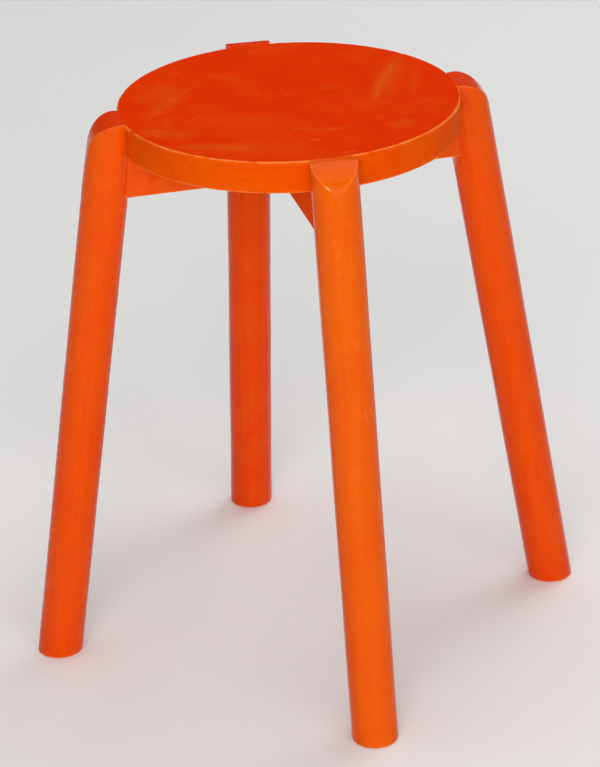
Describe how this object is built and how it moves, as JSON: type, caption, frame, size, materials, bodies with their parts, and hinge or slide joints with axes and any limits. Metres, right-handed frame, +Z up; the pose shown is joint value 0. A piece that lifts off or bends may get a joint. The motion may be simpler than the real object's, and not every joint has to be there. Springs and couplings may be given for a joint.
{
  "type": "stool",
  "caption": "Tall painted wooden stool: flat round seat between splayed round legs with rounded shoulders, carried on crossed rails halved into each other.",
  "frame": {"origin": "on the floor, under the centre of the seat", "axes": "+Z up; the legs stand on the diagonals between +X and +Y, and the front of the stool faces -Y"},
  "size_m": [0.3322, 0.3322, 0.45],
  "materials": {
    "seat_paint": "satin orange-red paint on a flat board, slightly chalky and rubbed on top, small nicks and wipe marks",
    "frame_paint": "satin orange-red paint over turned and sawn wood, faint grain showing through, edges rubbed lighter",
    "dowel_wood": "bare beech, sanded",
    "screw_steel": "zinc-plated steel"
  },
  "bodies": {
    "root": {"seat": "seat_paint", "cross_rail_over": "frame_paint", "cross_rail_under": "frame_paint", "leg_back_right": "frame_paint", "leg_back_left": "frame_paint", "leg_front_left": "frame_paint", "leg_front_right": "frame_paint", "seat_dowel_back_right": "dowel_wood", "seat_dowel_back_left": "dowel_wood", "seat_dowel_front_left": "dowel_wood", "seat_dowel_front_right": "dowel_wood", "rail_dowel_lower_back_right": "dowel_wood", "rail_dowel_lower_back_left": "dowel_wood", "rail_dowel_lower_front_left": "dowel_wood", "rail_dowel_lower_front_right": "dowel_wood", "rail_dowel_upper_back_right": "dowel_wood", "rail_dowel_upper_back_left": "dowel_wood", "rail_dowel_upper_front_left": "dowel_wood", "rail_dowel_upper_front_right": "dowel_wood", "seat_screw_back_right": "screw_steel", "seat_screw_back_left": "screw_steel", "seat_screw_front_left": "screw_steel", "seat_screw_front_right": "screw_steel"}
  },
  "joints": []
}
